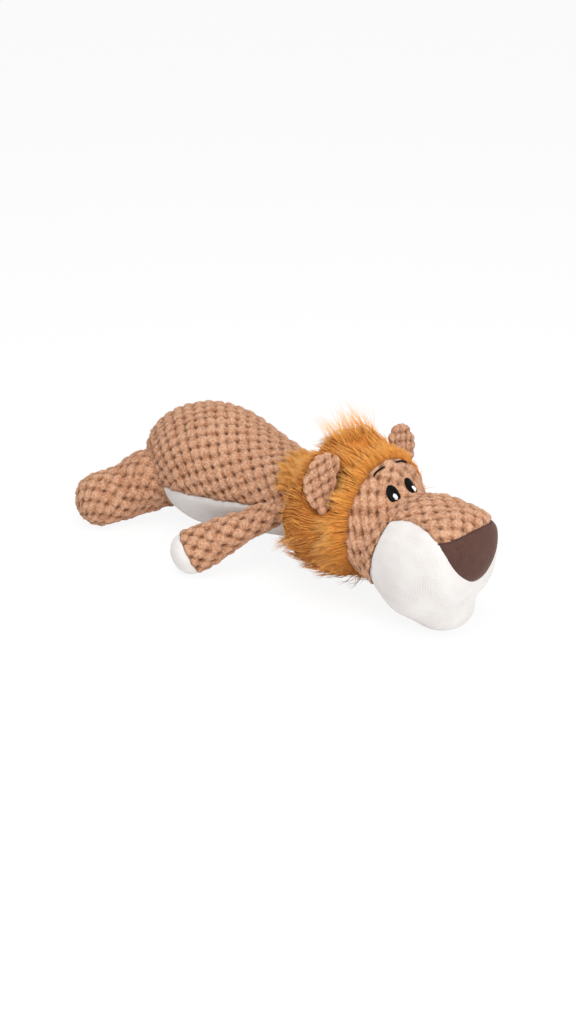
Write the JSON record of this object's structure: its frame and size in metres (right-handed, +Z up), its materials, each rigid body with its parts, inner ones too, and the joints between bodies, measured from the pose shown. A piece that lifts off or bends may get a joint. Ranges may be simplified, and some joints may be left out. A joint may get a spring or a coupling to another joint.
{
  "type": "plush dog toy",
  "caption": "Stuffed lion-shaped squeaky toy for dogs, lying on its belly, with a fur mane, a large muzzle, flexible ears, spread legs and a squeaker in its body.",
  "frame": {"origin": "on the surface that the toy lies on, below the middle of its box", "axes": "+X towards the head along the toy's length, +Y to the toy's left, +Z up"},
  "size_m": [0.3608, 0.1938, 0.1328],
  "materials": {
    "tan_chenille": "thick knitted chenille, matt and fluffy",
    "white_rib_knit": "fine ribbed knit, matt",
    "brown_velour": "short-pile velour",
    "golden_fur": "long-pile faux fur, slightly glossy",
    "fur_backing": "knitted fur backing, matt",
    "black_thread": "satin embroidery",
    "white_thread": "satin embroidery",
    "polyester_fibre": "loose fibre filling",
    "soft_plastic": "soft blown plastic",
    "reed_plastic": "moulded plastic"
  },
  "bodies": {
    "torso": {"back_panel": "tan_chenille", "belly_panel": "white_rib_knit", "body_stuffing": "polyester_fibre", "squeaker_bulb": "soft_plastic", "squeaker_reed": "reed_plastic"},
    "neck": {"neck_stuffing": "polyester_fibre"},
    "head": {"face_panel": "tan_chenille", "snout_bridge": "tan_chenille", "muzzle_panel": "white_rib_knit", "chin_panel": "white_rib_knit", "nose_panel": "brown_velour", "mane_backing": "fur_backing", "mane_fur": "golden_fur", "head_stuffing": "polyester_fibre", "eye_left": "black_thread", "eye_right": "black_thread", "eye_glint_left": "white_thread", "eye_glint_right": "white_thread", "brow_left": "black_thread", "brow_right": "black_thread"},
    "ear_left": {"ear_left_front": "tan_chenille", "ear_left_back": "tan_chenille"},
    "ear_right": {"ear_right_front": "tan_chenille", "ear_right_back": "tan_chenille"},
    "front_leg_left": {"front_leg_left": "tan_chenille", "front_paw_left": "white_rib_knit", "front_leg_left_stuffing": "polyester_fibre"},
    "front_leg_right": {"front_leg_right": "tan_chenille", "front_paw_right": "white_rib_knit", "front_leg_right_stuffing": "polyester_fibre"},
    "hind_leg_left": {"hind_leg_left": "tan_chenille", "hind_leg_left_stuffing": "polyester_fibre"},
    "hind_leg_right": {"hind_leg_right": "tan_chenille", "hind_leg_right_stuffing": "polyester_fibre"}
  },
  "joints": [
    {"name": "neck_turn", "type": "hinge", "parent": "torso", "child": "neck", "pos_m": [0.0054, 0, 0.053], "axis": [0, 0, 1], "range_deg": [-12, 12], "stiffness_Nm_per_rad": 1.2},
    {"name": "head_nod", "type": "hinge", "parent": "neck", "child": "head", "pos_m": [0.0054, 0, 0.053], "axis": [0, -1, 0], "range_deg": [0, 18], "stiffness_Nm_per_rad": 1.2},
    {"name": "ear_left_fold", "type": "hinge", "parent": "head", "child": "ear_left", "pos_m": [0.0684, 0.0355, 0.097], "axis": [0, -0.5446, 0.8387], "range_deg": [-25, 25], "stiffness_Nm_per_rad": 0.02},
    {"name": "ear_right_fold", "type": "hinge", "parent": "head", "child": "ear_right", "pos_m": [0.0684, -0.0355, 0.097], "axis": [0, 0.5446, 0.8387], "range_deg": [-25, 25], "stiffness_Nm_per_rad": 0.02},
    {"name": "front_leg_left_lift", "type": "hinge", "parent": "torso", "child": "front_leg_left", "pos_m": [-0.0046, 0.031, 0.046], "axis": [1, 0, 0], "range_deg": [-5, 45], "stiffness_Nm_per_rad": 0.15},
    {"name": "front_leg_right_lift", "type": "hinge", "parent": "torso", "child": "front_leg_right", "pos_m": [-0.0046, -0.031, 0.046], "axis": [-1, 0, 0], "range_deg": [-5, 45], "stiffness_Nm_per_rad": 0.15},
    {"name": "hind_leg_left_lift", "type": "hinge", "parent": "torso", "child": "hind_leg_left", "pos_m": [-0.1426, 0.042, 0.028], "axis": [0.9042, 0.4271, 0], "range_deg": [-5, 15], "stiffness_Nm_per_rad": 0.3},
    {"name": "hind_leg_right_lift", "type": "hinge", "parent": "torso", "child": "hind_leg_right", "pos_m": [-0.1426, -0.042, 0.028], "axis": [-0.9042, 0.4271, 0], "range_deg": [-5, 15], "stiffness_Nm_per_rad": 0.3}
  ]
}
